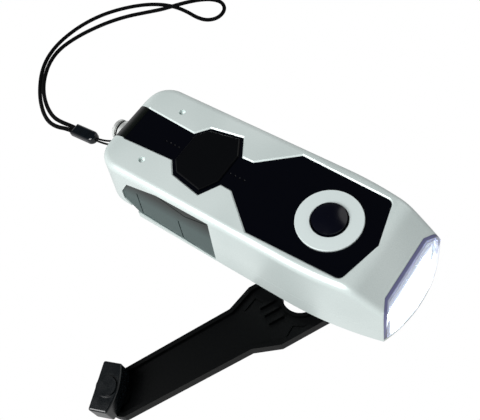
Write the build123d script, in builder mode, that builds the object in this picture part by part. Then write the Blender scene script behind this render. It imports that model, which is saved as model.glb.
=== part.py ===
"""Hand crank flashlight: a free-standing torch with a gear-driven generator.

Frame: the crank axis is the Z axis, +X points to the lamp end, +Y to the torch's left, and Z = 0
is the plane that the folded crank arm lies on. All sizes are millimetres.
"""
import math
import os

from build123d import *

os.makedirs("parts", exist_ok=True)

# ---------------------------------------------------------------- driving dimensions: the body
BODY_TOP = 39.0  # flat top face above the resting plane
BODY_BOTTOM = 11.0  # underside of the body
SEAM_Z = 18.5  # joint between the two shells
TAIL_X = -109.2  # end of the tail at the underside
TAIL_CORNER = 15.0  # plan radius of the two tail corners
BODY_HALF = 26.0  # half width of the underside along the grips
NOSE_HALF = 20.8  # half width of the underside at the nose corners
NOSE_CORNER_X = 27.4  # where the side walls end at the lens
NOSE_TIP_X = 31.8  # front of the bowed nose
TAPER_START_X = -12.0  # where the sides begin to draw in towards the nose
NOSE_OVERRUN = 12.0  # the drawn-in sides run on this far before the nose is cut
EDGE_OVERRUN = 5.0  # cutting outlines run this far past the tail and the nose
BOW_OVERRUN = 0.6  # the nose's bow ends this far outside its corners
DRAFT = 6.9  # degrees that the walls lean in towards the top
EDGE_RADIUS = 3.0  # rounding along the top edges
TAIL_ROUND = 9.0  # side-view radius where the top runs down to the tail
TOP_END_X = -99.8  # where the flat top ends at the tail
SLOPE_START_X = 14.3  # where the top begins to fall towards the lens
SLOPE_DEG = 36.6  # fall of the nose's top face
SLOPE_BEND = 12.0  # radius of the bend into that slope
WALL = 2.4  # side wall
FLOOR = 1.8  # floor of the lower shell
ROOF = 3.4  # roof of the upper shell, deep enough for the inlay
JOINT_GAP = 0.1  # between the shells' edges and round the fitted trim
BODY_SPAN = 300.0  # wider than the whole body, for shapes that cut right across it

# ---------------------------------------------------------------- driving dimensions: the trim
INLAY_DEPTH = 1.7  # pocket for the black inlay
INLAY_THICK = 1.2
INLAY_CORNER = 2.5  # rounding of the switch panel's two nose corners
INLAY_BEVEL = 0.5  # bevel of the shell's edge round the inlay
INLAY_END_HALF = 8.5  # half widths of the inlay, from the tail to the nose
INLAY_BAND_HALF = 7.2
INLAY_WAIST_HALF = 7.0
INLAY_BAND_X = -74.6
INLAY_WAIST_X = (-50.1, -44.8)
HEX_FIRST = (-69.8, 12.6)  # shoulders of the hexagonal bay
HEX_SECOND = (-55.1, 15.1)
PANEL_FIRST = (-29.6, 19.1)  # shoulders of the switch panel
PANEL_SECOND = (9.7, 17.8)
PANEL_POINT_X = 14.2
HEX_PAD_GAP = 1.5
HEX_PAD_THICK = 1.0
HEX_PAD_BEVEL = 0.25
DOT_RADIUS = 0.45
DOT_PITCH = 2.2
DOT_DEPTH = 0.4
DOT_Y = -1.2
DOT_ROWS = (-82.7, -49.8)  # first dot of each row of four
DIMPLE = (-85.7, 13.5)  # the pair of round dimples in the top face
DIMPLE_RADIUS = 1.35
DIMPLE_DEPTH = 1.3
SWITCH_X = -5.7
RING_RADIUS = 12.6
RING_BORE = 7.1
RING_THICK = 0.8
RING_BEVEL = 0.2
BUTTON_RADIUS = 6.5
BUTTON_TRAVEL = 0.8
BUTTON_RISE = 1.1  # the button's rim above the ring
BUTTON_DOME = 0.9
BUTTON_FLANGE = 8.2
BUTTON_FLANGE_THICK = 1.0
MOVING_GAP = 0.35  # between a moving piece and the wall it passes
GRIP_OUTLINE = (  # side view of a grip: along the body, and height
    (-71.5, 36.0),
    (-88.6, 31.7),
    (-93.6, 24.4),
    (-93.7, 19.5),
    (-86.8, 13.5),
    (-45.7, 11.2),
    (-45.6, 23.5),
    (-45.3, 36.2),
)
GRIP_SINK = 0.5  # the grip lies this far under the side wall
GRIP_THICK = 0.9
GROOVE = 0.6  # width of the moulded lines in the grips
GROOVE_DEPTH = 0.4
FIRST_PAD = ((-84.5, 28.0), (-85.0, 14.6), (-64.5, 12.9))  # corners of the lines round each pad
SECOND_PAD = ((-63.0, 25.0), (-62.8, 13.6), (-56.8, 12.6))
TOP_LINE = ((-71.0, 34.6), (-58.0, 31.2), (-46.9, 34.2))

# ---------------------------------------------------------------- driving dimensions: the lamp
LENS_BACK_X = 24.4  # set-back middle of the lens's top edge
LENS_BACK_HALF = 13.4
LENS_CORNER_X = 27.9  # where that edge, drawn back to the sides, would meet the full width
LENS_WALL = 1.8
LIP = 1.6  # shell left under the lens
LED_RADIUS = 2.5
LED_TIP_ROUND = 2.25
LED_LENGTH = 8.6
LED_PITCH = 10.0
LED_Z = 20.5
LED_BOARD_X = 18.4
LED_BOARD_HALF = 15.0
LED_BOARD_TOP = 27.4
REFLECTOR_DEPTH = 6.4
REFLECTOR_HALF = 15.4
REFLECTOR_Z = (14.0, 26.2)
BOWL_BACK = 3.2
BOWL_FRONT = 4.9
LED_RIM = 0.5
LED_RIM_THICK = 1.0
BOARD_THICK = 1.6

# ---------------------------------------------------------------- driving dimensions: the crank
CRANK_DEG = -117.54  # where the swung-out arm points, seen from above
ARM_THICK = 5.0
ARM_TIP_HALF = 8.7
ARM_ROOT_HALF = 9.6
HEAD_HALF = 13.9
HEAD_END_S = 37.8  # distances along the arm from the crank axis
FLARE_END_S = 48.6
ARM_END_S = 102.5
ARM_TIP_BOW = 5.5  # how far the rounded tip stands past that
ARM_RIM = 1.7
ARM_POCKET = 2.2
POCKET_START_S = 8.0
GUSSET_DEPTH = 0.8  # the three-cornered hollows are this much deeper than the pocket
GUSSETS = (
    ((44.2, -6.5), (37.6, -9.4), (35.7, -6.3)),
    ((35.0, 11.4), (25.2, 11.5), (30.3, 8.5)),
)
RIB_LINES = (-4.0, -0.4, 3.5)  # across the arm
RIB_REACH = (31.5, 38.0)  # along the arm
RIB = 0.9
KNOB_BOSS = 5.4
WINDOW_S = 21.7  # the round window in the arm's head
WINDOW_RADIUS = 7.3
COLLAR = 1.4
HINGE_RADIUS = 2.5
HINGE_SLOT_S = 3.5
KNUCKLE_ROUND = 1.2
HINGE_PIN_RADIUS = 1.25
RUNNING_FIT = 0.06  # radial clearance of a pin or shaft in its bore
KNUCKLE_HALF = 5.5
TURRET_RADIUS = 13.5
TURRET_GAP = 0.35
TURRET_LIFT = 0.5  # between the arm and the turret's underside
SHAFT_RADIUS = 4.0
SHAFT_TOP = 18.0
HUB_BOSS_RADIUS = 6.5
HUB_BOSS_TOP = 13.35
HUB_WASHER = 0.5
KNOB_HEIGHT = 11.0
KNOB_HALF_LENGTH = 9.5
KNOB_BACK = 4.5
KNOB_END = 2.9
KNOB_BULGE = 4.6
KNOB_TURN = 50.5  # the knob's long axis from the arm's, as it rests
KNOB_S = 102.3
KNOB_N = -1.0
KNOB_CAP_RADIUS = 3.9
KNOB_CAP = 0.7
KNOB_EDGE = 0.8
KNOB_PIN_START = 1.0
KNOB_PIN_RADIUS = 1.8
KNOB_GAP = 0.3
SWING_GAP = 0.6  # between the knob's top and the relief under the tail

# ---------------------------------------------------------------- driving dimensions: the gears
HUB_TEETH = 42
HUB_MODULE = 0.8
FIRST_PINION_TEETH = 12
FIRST_WHEEL_TEETH = 32
SECOND_PINION_TEETH = 10
SECOND_WHEEL_TEETH = 30
ROTOR_TEETH = 10
FINE_MODULE = 0.6
GEAR_BACKLASH = 0.12
PRESSURE_DEG = 20.0
ADDENDUM = 0.9  # of the module
DEDENDUM = 1.25
HUB_GEAR_Z = 14.2
HUB_GEAR_THICK = 3.2
FIRST_WHEEL_Z = 18.6
FINE_THICK = 2.4
SECOND_WHEEL_Z = 21.8
AXLE_RADIUS = 1.2
AXLE_FOOT = 12.0  # where the axles start in the floor
AXLE_TOP = 26.6
AXLE_BOSS = 2.2
FIRST_BOSS_TOP = 13.7
FIRST_PINION_Z = 14.0
SECOND_BOSS_TOP = 18.3
GEAR_HUB_TOP = 24.9
SECOND_DIRECTION = 143.0  # from the first idler to the second
ROTOR_DIRECTION = 172.0  # from the second idler to the rotor
PLATE_Z = 25.2
PLATE_THICK = 1.6
PLATE_OUTLINE = (
    (-52.5, -8.0),
    (-24.0, -18.5),
    (-16.5, -14.0),
    (-16.5, 6.0),
    (-20.5, 21.4),
    (-28.0, 21.4),
    (-52.5, 17.0),
)
PLATE_CORNER = 2.0
PLATE_LEGS = ((-49.5, -5.0), (-24.0, -15.0), (-24.0, 18.4))
LEG_RADIUS = 2.5
BOARD_Z = 28.0
BOARD_SPAN = (-20.0, 8.0)
BOARD_HALF = 13.0
BOARD_POSTS = ((-17.0, 10.0), (-17.0, -10.0), (5.0, 10.0), (5.0, -10.0))
BOARD_POST_RADIUS = 2.0
PUSH_SWITCH_SIDE = 6.0
PUSH_SWITCH_TOP = 32.0
PLUNGER_RADIUS = 1.6
PLUNGER_TOP = 32.6
BUTTON_STEM = 33.9
MAGNET_RADIUS = 6.0
MAGNET_HEIGHT = 4.4
MAGNET_Z = 13.9
STATOR_BORE = 6.6
STATOR_RADIUS = 9.4
STATOR_HEIGHT = 5.2
STATOR_WALL = 0.8
COIL_GAP = 0.2

# ---------------------------------------------------------------- driving dimensions: the tail
POST_Z = 24.5
POST_RADIUS = 5.0
POST_NECK_RADIUS = 3.6
POST_END_X = -117.0
POST_RIM = 1.6
POST_BEVEL = 0.4
POST_NECK_LENGTH = 1.9
POST_RIM_RADIUS = 4.6
POST_STEM_RADIUS = 3.0
POST_SEAT_X = -106.6  # the post's shoulder lies in a shallow seat in the tail wall
POST_STEM_END = -101.8
NUT_START = -104.5
NUT_THICK = 2.6
NUT_RADIUS = 4.6
THIN_CORD = 0.9
LOOP_CORD = 2.0
SLEEVE_IN = (-125.8, -8.0, 20.5)  # middle of the sleeve's face towards the post
SLEEVE_LENGTH = 14.3
SLEEVE_WAY = (-0.9957, -0.0305, -0.0855)  # from there along the sleeve
SLEEVE_HALF_WIDTH = 2.9
SLEEVE_HALF_HEIGHT = 2.0
SLEEVE_CORNERS = (2.7, 1.5)  # plan corners at the post's end and at the loop's end
SLEEVE_EDGE = 1.3
THIN_SPREAD = 0.55  # each thin strand from the sleeve's middle
THIN_LEAD = 5.0  # straight lead of each thin strand out of the sleeve
LOOP_SPREAD = 1.05
LOOP_LEAD = 4.5
BEND_SHARE = 0.45  # of the shorter run beside a bend that the bend takes up
CELL_RADIUS = 5.2
CELL_LENGTH = 43.0
CELL_PITCH = 11.4
CELL_START_X = -98.0
CELL_Z = 28.6
CELL_GAP = 0.1
CELL_NIP = 1.6  # radius of the raised contact
CELL_NIP_LENGTH = 1.0
TRAY_SPAN = (-99.5, -53.5)
TRAY_HALF = 16.6
TRAY_Z = (21.6, 26.0)
TRAY_FEET = (-80.0, -60.0)
TRAY_FOOT_HALF = 12.0
TRAY_FOOT_THICK = 2.0
SCREW_RADIUS = 1.2
SCREW_HEAD_RADIUS = 2.4
SCREW_HEAD = 1.4
SCREW_CLEAR = 0.1
SCREW_SINK = 1.6
SCREW_TOP = 27.0
SCREW_POST_RADIUS = 2.8
TAIL_SCREWS = (-84.0, BODY_HALF - 6.4)
NOSE_SCREWS = (15.0, NOSE_HALF - 3.2)
SCREW_PLACES = (
    TAIL_SCREWS,
    (TAIL_SCREWS[0], -TAIL_SCREWS[1]),
    NOSE_SCREWS,
    (NOSE_SCREWS[0], -NOSE_SCREWS[1]),
)
RELIEF_START = 91.3  # from the crank axis: the knob sweeps beyond this under the tail
RELIEF_WALL = 2.4
LOWER_TOP = SEAM_Z - JOINT_GAP / 2
UPPER_BOTTOM = SEAM_Z + JOINT_GAP / 2
KNOB_TOP = ARM_THICK + KNOB_HEIGHT
FIRST_PLACE = (-HUB_MODULE * (HUB_TEETH + FIRST_PINION_TEETH) / 2, 0.0)
SECOND_REACH = FINE_MODULE * (FIRST_WHEEL_TEETH + SECOND_PINION_TEETH) / 2
ROTOR_REACH = FINE_MODULE * (SECOND_WHEEL_TEETH + ROTOR_TEETH) / 2
SECOND_PLACE = (
    FIRST_PLACE[0] + SECOND_REACH * math.cos(math.radians(SECOND_DIRECTION)),
    FIRST_PLACE[1] + SECOND_REACH * math.sin(math.radians(SECOND_DIRECTION)),
)
ROTOR_PLACE = (
    SECOND_PLACE[0] + ROTOR_REACH * math.cos(math.radians(ROTOR_DIRECTION)),
    SECOND_PLACE[1] + ROTOR_REACH * math.sin(math.radians(ROTOR_DIRECTION)),
)


def save(builder, name):
    """Label one finished piece and write it under its node name."""
    builder.part.label = name
    export_step(builder.part, f"parts/{name}.step")


# ================================================================ the body's outer form
def plan_outline(inset):
    """Plan of the underside: rounded tail, straight grips, sides drawn in to the nose."""
    half = BODY_HALF - inset
    nose = NOSE_HALF - inset
    tail = TAIL_X + inset
    corner = TAIL_CORNER - inset
    with BuildSketch() as plan:
        with BuildLine():
            side = TangentArc((TAPER_START_X, half), (NOSE_CORNER_X, nose), tangent=(1, 0))
            past_nose = (side @ 1) + (side % 1) * NOSE_OVERRUN
            Line((tail, 0), (past_nose.X, 0))
            Line((past_nose.X, 0), past_nose)
            Line(past_nose, side @ 1)
            Line((TAPER_START_X, half), (tail + corner, half))
            RadiusArc((tail + corner, half), (tail, half - corner), -corner)
            Line((tail, half - corner), (tail, 0))
        make_face()
        mirror(about=Plane.XZ)
    return plan.sketch


def envelope(inset, floor_z, roof_z, round_edges):
    """The body's outer form, or the hollow inside it when inset by the wall."""
    drop = math.tan(math.radians(SLOPE_DEG))
    slope_x = SLOPE_START_X - (BODY_TOP - roof_z) * math.tan(math.radians(SLOPE_DEG / 2))
    reach = NOSE_TIP_X + EDGE_OVERRUN
    arc_radius = TAIL_ROUND - inset
    height = roof_z - floor_z
    lean = math.tan(math.radians(DRAFT))
    lower = plan_outline(inset + (floor_z - BODY_BOTTOM) * lean)
    upper = plan_outline(inset + (roof_z - BODY_BOTTOM) * lean)
    with BuildPart() as form:
        with BuildSketch(Plane.XY.offset(floor_z)):
            add(lower)
        with BuildSketch(Plane.XY.offset(roof_z)):
            add(upper)
        loft(ruled=True)
        with BuildSketch(Plane.XZ) as side:
            with BuildLine():
                Line((TAIL_X - EDGE_OVERRUN, floor_z), (reach, floor_z))
                Line((reach, floor_z), (reach, roof_z - (reach - slope_x) * drop))
                Line((reach, roof_z - (reach - slope_x) * drop), (slope_x, roof_z))
                Line((slope_x, roof_z), (TOP_END_X, roof_z))
                tail_arc = CenterArc((TOP_END_X, roof_z - arc_radius), arc_radius, 90, 90)
                Line(tail_arc @ 1, (TAIL_X - EDGE_OVERRUN, roof_z - arc_radius))
                Line((TAIL_X - EDGE_OVERRUN, roof_z - arc_radius), (TAIL_X - EDGE_OVERRUN, floor_z))
            make_face()
            bend = side.vertices().sort_by_distance((slope_x, roof_z, 0))[0]
            fillet(bend, radius=SLOPE_BEND)
        extrude(amount=BODY_HALF * 2, both=True, mode=Mode.INTERSECT)
        with BuildSketch(Plane.XY.offset(floor_z)):
            with BuildLine():
                bow = ThreePointArc(
                    (NOSE_CORNER_X - inset, NOSE_HALF + BOW_OVERRUN),
                    (NOSE_TIP_X - inset, 0),
                    (NOSE_CORNER_X - inset, -NOSE_HALF - BOW_OVERRUN),
                )
                Line(bow @ 1, (NOSE_CORNER_X - inset, -BODY_HALF * 2))
                Line((NOSE_CORNER_X - inset, -BODY_HALF * 2), (TAIL_X - EDGE_OVERRUN, -BODY_HALF * 2))
                Line((TAIL_X - EDGE_OVERRUN, -BODY_HALF * 2), (TAIL_X - EDGE_OVERRUN, BODY_HALF * 2))
                Line((TAIL_X - EDGE_OVERRUN, BODY_HALF * 2), (NOSE_CORNER_X - inset, BODY_HALF * 2))
                Line((NOSE_CORNER_X - inset, BODY_HALF * 2), bow @ 0)
            make_face()
        extrude(amount=height, mode=Mode.INTERSECT)
        if round_edges:
            rim = form.faces().filter_by(Axis.Z).sort_by(Axis.Z)[-1].edges()
            sides = rim.filter_by(lambda e: abs(e.center().Y) > BODY_HALF / 2)
            fillet(sides, radius=EDGE_RADIUS)
    return form.part


# ================================================================ shared shapes
def round_post(radius, places, low_z, high_z):
    """Round posts, pins or bores standing between two levels."""
    with BuildPart() as post:
        with BuildSketch(Plane.XY.offset(low_z)):
            with Locations(*places):
                Circle(radius)
        extrude(amount=high_z - low_z)
    return post.part


def lens_region(grow):
    """Everything in front of the lens's set-back edge and above the lip."""
    back = LENS_BACK_X - grow
    corner = LENS_CORNER_X - grow
    with BuildPart() as region:
        with BuildSketch(Plane.XY.offset(BODY_BOTTOM + LIP - grow)):
            with BuildLine():
                side = Polyline(
                    (BODY_SPAN, 0),
                    (back, 0),
                    (back, LENS_BACK_HALF),
                    (corner, NOSE_HALF),
                    (corner, BODY_SPAN),
                    (BODY_SPAN, BODY_SPAN),
                )
                Line(side @ 1, side @ 0)
            make_face()
            mirror(about=Plane.XZ)
        extrude(amount=BODY_TOP)
    return region.part


def grip_region(grow):
    """Side view of a grip, carried right across the body."""
    with BuildPart() as region:
        with BuildSketch(Plane.XZ):
            with BuildLine():
                Polyline(*GRIP_OUTLINE, close=True)
            make_face()
            if grow:
                offset(amount=grow)
        extrude(amount=BODY_HALF + WALL, both=True)
    return region.part


def inlay_outline(grow):
    """Plan of the black inlay: tail band, hexagonal bay, waist and switch panel."""
    with BuildSketch() as plan:
        with BuildLine():
            half_plan = Polyline(
                (TOP_END_X, 0),
                (TOP_END_X, INLAY_END_HALF),
                (INLAY_BAND_X, INLAY_BAND_HALF),
                HEX_FIRST,
                HEX_SECOND,
                (INLAY_WAIST_X[0], INLAY_WAIST_HALF),
                (INLAY_WAIST_X[1], INLAY_BAND_HALF),
                PANEL_FIRST,
                PANEL_SECOND,
                (PANEL_POINT_X, 0),
            )
            Line(half_plan @ 1, half_plan @ 0)
        make_face()
        mirror(about=Plane.XZ)
        panel_corners = [v for v in plan.vertices() if abs(v.X - PANEL_SECOND[0]) < JOINT_GAP]
        fillet(panel_corners, radius=INLAY_CORNER)
        if grow:
            offset(amount=grow)
    return plan.sketch


def hex_outline():
    """Plan of the pad inside the hexagonal bay."""
    with BuildSketch() as plan:
        with BuildLine():
            bay_side = Polyline(
                (INLAY_BAND_X, 0),
                (INLAY_BAND_X, INLAY_BAND_HALF),
                HEX_FIRST,
                HEX_SECOND,
                (INLAY_WAIST_X[0], INLAY_WAIST_HALF),
                (INLAY_WAIST_X[0], 0),
            )
            Line(bay_side @ 1, bay_side @ 0)
        make_face()
        mirror(about=Plane.XZ)
        offset(amount=-HEX_PAD_GAP)
    return plan.sketch


def polar(radius, angle):
    """Point at a radius and an angle in radians."""
    return (radius * math.cos(angle), radius * math.sin(angle))


def gear_outline(teeth, module, tooth_deg):
    """Spur gear with one tooth centred on the given direction."""
    pressure = math.radians(PRESSURE_DEG)
    pitch_r = module * teeth / 2
    base_r = pitch_r * math.cos(pressure)
    tip_r = pitch_r + module * ADDENDUM
    root_r = pitch_r - module * DEDENDUM
    start_r = max(base_r, root_r)
    middle_r = (start_r + tip_r) / 2
    half_tooth = (math.pi * module / 2 - GEAR_BACKLASH) / (2 * pitch_r)

    def flank(radius):
        roll = math.acos(min(base_r / radius, 1))
        return half_tooth + math.tan(pressure) - pressure - math.tan(roll) + roll

    with BuildSketch() as profile:
        with BuildLine():
            for tooth in range(teeth):
                centre = math.radians(tooth_deg) + 2 * math.pi * tooth / teeth
                following = centre + 2 * math.pi / teeth
                rise, fall = (centre - flank(start_r), centre + flank(start_r))
                following_rise = following - flank(start_r)
                if start_r > root_r:
                    Line(polar(root_r, rise), polar(start_r, rise))
                    Line(polar(start_r, fall), polar(root_r, fall))
                ThreePointArc(
                    polar(start_r, rise),
                    polar(middle_r, centre - flank(middle_r)),
                    polar(tip_r, centre - flank(tip_r)),
                )
                ThreePointArc(
                    polar(tip_r, centre - flank(tip_r)),
                    polar(tip_r, centre),
                    polar(tip_r, centre + flank(tip_r)),
                )
                ThreePointArc(
                    polar(tip_r, centre + flank(tip_r)),
                    polar(middle_r, centre + flank(middle_r)),
                    polar(start_r, fall),
                )
                ThreePointArc(
                    polar(root_r, fall),
                    polar(root_r, (fall + following_rise) / 2),
                    polar(root_r, following_rise),
                )
        make_face()
    return profile.sketch


outer_form = envelope(0, BODY_BOTTOM, BODY_TOP, True)
hollow = envelope(WALL, BODY_BOTTOM + FLOOR, BODY_TOP - ROOF, False)

with BuildPart() as grip_recess:  # what the shells give up so that the grips can lie in them
    add(grip_region(JOINT_GAP))
    recess_floor = GRIP_SINK + GRIP_THICK + JOINT_GAP
    add(envelope(recess_floor, BODY_BOTTOM - FLOOR, BODY_TOP, False), mode=Mode.SUBTRACT)

with BuildPart() as roof_posts:  # the screw posts and the board's pegs, ended inside the roof
    add(round_post(SCREW_POST_RADIUS, SCREW_PLACES, UPPER_BOTTOM, BODY_TOP))
    add(round_post(BOARD_POST_RADIUS, BOARD_POSTS, BOARD_Z + BOARD_THICK, BODY_TOP))
    add(envelope(WALL / 2, BODY_BOTTOM, BODY_TOP - INLAY_DEPTH - JOINT_GAP, False), mode=Mode.INTERSECT)

# ================================================================ top_shell: the silver upper half
with BuildPart() as top_shell:
    add(outer_form)
    add(hollow, mode=Mode.SUBTRACT)
    add(roof_posts.part)
    with BuildSketch():
        Rectangle(BODY_SPAN, BODY_SPAN)
    extrude(amount=UPPER_BOTTOM, mode=Mode.SUBTRACT)
    add(lens_region(JOINT_GAP), mode=Mode.SUBTRACT)
    add(grip_recess.part, mode=Mode.SUBTRACT)
    with BuildSketch(Plane.XY.offset(BODY_TOP)):
        add(inlay_outline(JOINT_GAP))
    extrude(amount=-INLAY_DEPTH, mode=Mode.SUBTRACT)
    with BuildSketch(Plane.XY.offset(BODY_TOP)):
        add(inlay_outline(JOINT_GAP + INLAY_BEVEL))
    with BuildSketch(Plane.XY.offset(BODY_TOP - INLAY_BEVEL)):
        add(inlay_outline(JOINT_GAP))
    loft(ruled=True, mode=Mode.SUBTRACT)
    with BuildSketch(Plane.XY.offset(BODY_TOP)):
        with Locations(DIMPLE, (DIMPLE[0], -DIMPLE[1])):
            Circle(DIMPLE_RADIUS)
    extrude(amount=-DIMPLE_DEPTH, mode=Mode.SUBTRACT)
    with BuildSketch(Plane.XY.offset(BODY_TOP)):
        with Locations((SWITCH_X, 0)):
            Circle(BUTTON_RADIUS + MOVING_GAP)
    extrude(amount=BOARD_Z - BODY_TOP, mode=Mode.SUBTRACT)
    with BuildSketch(Plane.YZ.offset(TAIL_X)):
        with Locations((0, POST_Z)):
            Circle(POST_RADIUS + JOINT_GAP)
    extrude(amount=POST_SEAT_X - TAIL_X, mode=Mode.SUBTRACT)
    with BuildSketch(Plane.YZ.offset(TAIL_X)):
        with Locations((0, POST_Z)):
            Circle(POST_STEM_RADIUS)
    extrude(amount=POST_STEM_END - TAIL_X, mode=Mode.SUBTRACT)
    add(round_post(SCREW_RADIUS, SCREW_PLACES, SEAM_Z, SCREW_TOP), mode=Mode.SUBTRACT)
save(top_shell, "top_shell")

# ================================================================ bottom_shell: the lower half
with BuildPart() as lower_room:  # the hollow below the seam, short of the knob's path
    add(hollow)
    add(round_post(RELIEF_START - RELIEF_WALL, ((0, 0),), BODY_BOTTOM, SEAM_Z), mode=Mode.INTERSECT)

with BuildPart() as knob_path:  # the ring under the tail that the folded crank's knob sweeps
    with BuildSketch():
        Circle(BODY_SPAN)
        Circle(RELIEF_START, mode=Mode.SUBTRACT)
    extrude(amount=KNOB_TOP + SWING_GAP)

with BuildPart() as bottom_shell:
    add(outer_form)
    with BuildSketch(Plane.XY.offset(LOWER_TOP)):
        Rectangle(BODY_SPAN, BODY_SPAN)
    extrude(amount=BODY_TOP, mode=Mode.SUBTRACT)
    add(lower_room.part, mode=Mode.SUBTRACT)
    add(knob_path.part, mode=Mode.SUBTRACT)
    floor_top = BODY_BOTTOM + FLOOR
    add(round_post(HUB_BOSS_RADIUS, ((0, 0),), floor_top, HUB_BOSS_TOP))
    add(round_post(AXLE_BOSS, (FIRST_PLACE,), floor_top, FIRST_BOSS_TOP))
    add(round_post(AXLE_BOSS, (SECOND_PLACE,), floor_top, SECOND_BOSS_TOP))
    add(round_post(SCREW_POST_RADIUS, SCREW_PLACES, floor_top, LOWER_TOP))
    add(round_post(SHAFT_RADIUS + RUNNING_FIT, ((0, 0),), 0, HUB_BOSS_TOP), mode=Mode.SUBTRACT)
    add(round_post(AXLE_RADIUS, (FIRST_PLACE, SECOND_PLACE), AXLE_FOOT, SEAM_Z), mode=Mode.SUBTRACT)
    add(round_post(AXLE_RADIUS + RUNNING_FIT, (ROTOR_PLACE,), AXLE_FOOT, SEAM_Z), mode=Mode.SUBTRACT)
    add(round_post(SCREW_RADIUS + SCREW_CLEAR, SCREW_PLACES, 0, SEAM_Z), mode=Mode.SUBTRACT)
    sunk_head = SCREW_HEAD_RADIUS + SCREW_CLEAR
    add(round_post(sunk_head, SCREW_PLACES, 0, BODY_BOTTOM + SCREW_SINK), mode=Mode.SUBTRACT)
    add(lens_region(JOINT_GAP), mode=Mode.SUBTRACT)
    add(grip_recess.part, mode=Mode.SUBTRACT)
save(bottom_shell, "bottom_shell")

# ================================================================ left_grip, right_grip: the side pads
with BuildPart() as grip_lines:  # moulded lines, as thin walls running right across the body
    for corners in (FIRST_PAD, SECOND_PAD, TOP_LINE):
        with BuildSketch(Plane.XZ):
            with BuildLine():
                Polyline(*corners)
            trace(line_width=GROOVE)
        extrude(amount=BODY_HALF + WALL, both=True)
    line_floor = GRIP_SINK + GROOVE_DEPTH
    add(envelope(line_floor, BODY_BOTTOM - FLOOR, BODY_TOP, False), mode=Mode.SUBTRACT)

with BuildPart() as grip_pair:
    add(envelope(GRIP_SINK, BODY_BOTTOM, BODY_TOP, False))
    add(envelope(GRIP_SINK + GRIP_THICK, BODY_BOTTOM, BODY_TOP, False), mode=Mode.SUBTRACT)
    add(grip_region(0), mode=Mode.INTERSECT)
    add(grip_lines.part, mode=Mode.SUBTRACT)

for side_name, side_sign in (("left_grip", 1), ("right_grip", -1)):
    with BuildPart() as grip:
        add(grip_pair.part)
        with BuildSketch():
            with Locations((0, side_sign * BODY_SPAN / 2)):
                Rectangle(BODY_SPAN, BODY_SPAN)
        extrude(amount=BODY_TOP, mode=Mode.INTERSECT)
    save(grip, side_name)

# ================================================================ inlay_panel: the black inlay
inlay_floor = BODY_TOP - INLAY_DEPTH
inlay_top = inlay_floor + INLAY_THICK
with BuildPart() as inlay_panel:
    with BuildSketch(Plane.XY.offset(inlay_floor)):
        add(inlay_outline(0))
        with Locations((SWITCH_X, 0)):
            Circle(BUTTON_RADIUS + MOVING_GAP, mode=Mode.SUBTRACT)
    extrude(amount=INLAY_THICK)
    with BuildSketch(Plane.XY.offset(inlay_top)):
        for first_dot in DOT_ROWS:
            for dot in range(4):
                with Locations((first_dot + dot * DOT_PITCH, DOT_Y)):
                    Circle(DOT_RADIUS)
    extrude(amount=-DOT_DEPTH, mode=Mode.SUBTRACT)
save(inlay_panel, "inlay_panel")

# ================================================================ hex_pad: the raised hexagonal pad
with BuildPart() as hex_pad:
    with BuildSketch(Plane.XY.offset(inlay_top)):
        add(hex_outline())
    extrude(amount=HEX_PAD_THICK)
    chamfer(hex_pad.faces().sort_by(Axis.Z)[-1].edges(), length=HEX_PAD_BEVEL)
save(hex_pad, "hex_pad")

# ================================================================ switch_ring: the ring round the button
with BuildPart() as switch_ring:
    with BuildSketch(Plane.XY.offset(inlay_top)):
        with Locations((SWITCH_X, 0)):
            Circle(RING_RADIUS)
            Circle(RING_BORE, mode=Mode.SUBTRACT)
    extrude(amount=RING_THICK)
    chamfer(switch_ring.faces().sort_by(Axis.Z)[-1].edges(), length=RING_BEVEL)
save(switch_ring, "switch_ring")

# ================================================================ push_button: domed cap on a flanged stem
button_rim = inlay_top + RING_THICK + BUTTON_RISE
flange_top = BODY_TOP - ROOF - MOVING_GAP / 2
flange_floor = flange_top - BUTTON_FLANGE_THICK
with BuildPart() as push_button:
    with BuildSketch(Plane.XZ):
        with BuildLine():
            dome = ThreePointArc(
                (SWITCH_X, button_rim + BUTTON_DOME),
                (SWITCH_X + BUTTON_RADIUS / 2, button_rim + BUTTON_DOME * 3 / 4),
                (SWITCH_X + BUTTON_RADIUS, button_rim),
            )
            Polyline(
                dome @ 1,
                (SWITCH_X + BUTTON_RADIUS, flange_top),
                (SWITCH_X + BUTTON_FLANGE, flange_top),
                (SWITCH_X + BUTTON_FLANGE, flange_floor),
                (SWITCH_X + PLUNGER_RADIUS, flange_floor),
                (SWITCH_X + PLUNGER_RADIUS, BUTTON_STEM),
                (SWITCH_X, BUTTON_STEM),
                (SWITCH_X, button_rim + BUTTON_DOME),
            )
        make_face()
    revolve(axis=Axis((SWITCH_X, 0, 0), (0, 0, 1)))
save(push_button, "push_button")

# ================================================================ push_switch and main_board
with BuildPart() as push_switch:
    with BuildSketch(Plane.XY.offset(BOARD_Z + BOARD_THICK)):
        with Locations((SWITCH_X, 0)):
            Rectangle(PUSH_SWITCH_SIDE, PUSH_SWITCH_SIDE)
    extrude(amount=PUSH_SWITCH_TOP - BOARD_Z - BOARD_THICK)
    add(round_post(PLUNGER_RADIUS, ((SWITCH_X, 0),), PUSH_SWITCH_TOP, PLUNGER_TOP))
save(push_switch, "push_switch")

with BuildPart() as main_board:
    with BuildSketch(Plane.XY.offset(BOARD_Z)):
        with Locations((sum(BOARD_SPAN) / 2, 0)):
            Rectangle(BOARD_SPAN[1] - BOARD_SPAN[0], BOARD_HALF * 2)
    extrude(amount=BOARD_THICK)
save(main_board, "main_board")

# ================================================================ lens_cover: the clear bowed front
with BuildPart() as lens_cover:
    add(outer_form)
    add(lens_region(0), mode=Mode.INTERSECT)
    add(envelope(LENS_WALL, BODY_BOTTOM, BODY_TOP - LENS_WALL, False), mode=Mode.SUBTRACT)
save(lens_cover, "lens_cover")

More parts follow.
